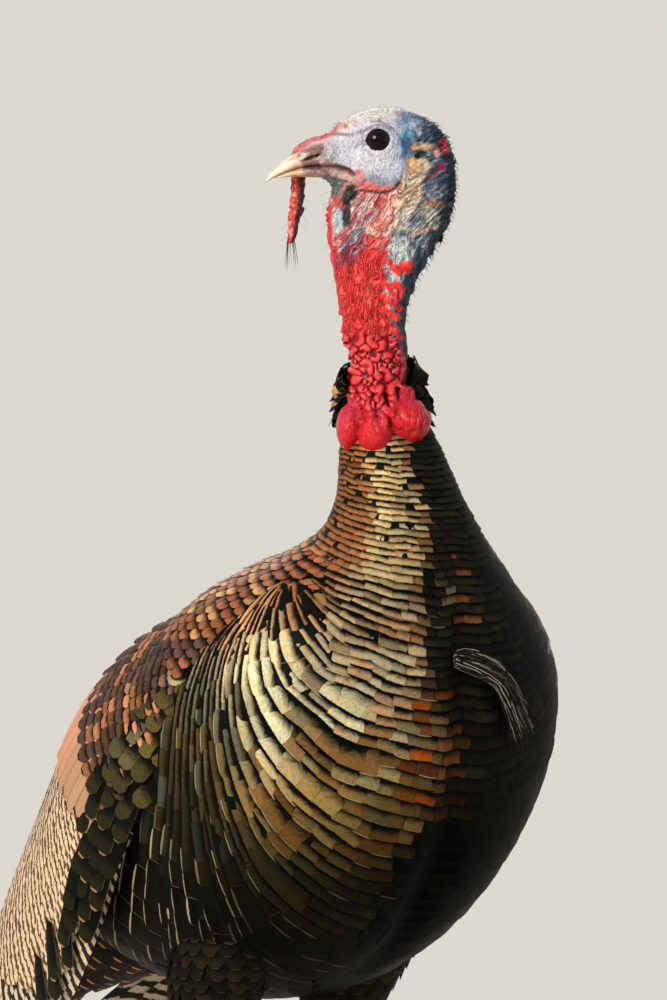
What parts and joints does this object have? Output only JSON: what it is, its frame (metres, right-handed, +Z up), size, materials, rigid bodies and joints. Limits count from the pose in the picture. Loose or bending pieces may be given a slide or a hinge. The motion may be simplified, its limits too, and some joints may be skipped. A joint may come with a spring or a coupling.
{
  "type": "wild turkey",
  "caption": "Life-size still model of an adult male wild turkey standing on both feet, head turned back over its right side, wings folded and tail closed.",
  "frame": {"origin": "middle of the bottom of the whole bird's box, on the floor under it", "axes": "+Z up, the body faces -Y, the bird's left side is +X"},
  "size_m": [0.2806, 0.7016, 0.8533],
  "materials": {
    "body_feathers": "bronze and olive contour feathers with black edges",
    "wing_feathers": "coppery coverts and barred flight feathers",
    "tail_feathers": "chestnut feathers with fine dark bars",
    "leg_feathers": "short dark feathers with buff tips",
    "red_skin": "moist wrinkled bare skin",
    "head_skin": "fine-grained bare skin, blue, white and red",
    "eye": "wet glossy eye, near black",
    "bill_horn": "smooth pinkish horn",
    "claw_horn": "dark polished horn",
    "leg_skin": "pink scaled skin",
    "bristles": "coarse black bristles"
  },
  "bodies": {
    "root": {"trunk": "body_feathers", "neck_feathered": "body_feathers", "neck_bare": "red_skin", "caruncle_left": "red_skin", "caruncle_middle": "red_skin", "caruncle_right": "red_skin", "head": "head_skin", "eye_left": "eye", "eye_right": "eye", "bill_upper": "bill_horn", "bill_lower": "bill_horn", "snood": "red_skin", "beard": "bristles", "tail": "tail_feathers", "tail_coverts_upper": "tail_feathers", "tail_coverts_lower": "tail_feathers", "wing_coverts_left": "wing_feathers", "wing_secondaries_left": "wing_feathers", "wing_primaries_left": "wing_feathers", "thigh_left": "leg_feathers", "shank_left": "leg_skin", "spur_left": "claw_horn", "foot_left": "leg_skin", "claw_inner_left": "claw_horn", "claw_middle_left": "claw_horn", "claw_outer_left": "claw_horn", "claw_hind_left": "claw_horn", "wing_coverts_right": "wing_feathers", "wing_secondaries_right": "wing_feathers", "wing_primaries_right": "wing_feathers", "thigh_right": "leg_feathers", "shank_right": "leg_skin", "spur_right": "claw_horn", "foot_right": "leg_skin", "claw_inner_right": "claw_horn", "claw_middle_right": "claw_horn", "claw_outer_right": "claw_horn", "claw_hind_right": "claw_horn"}
  },
  "joints": []
}
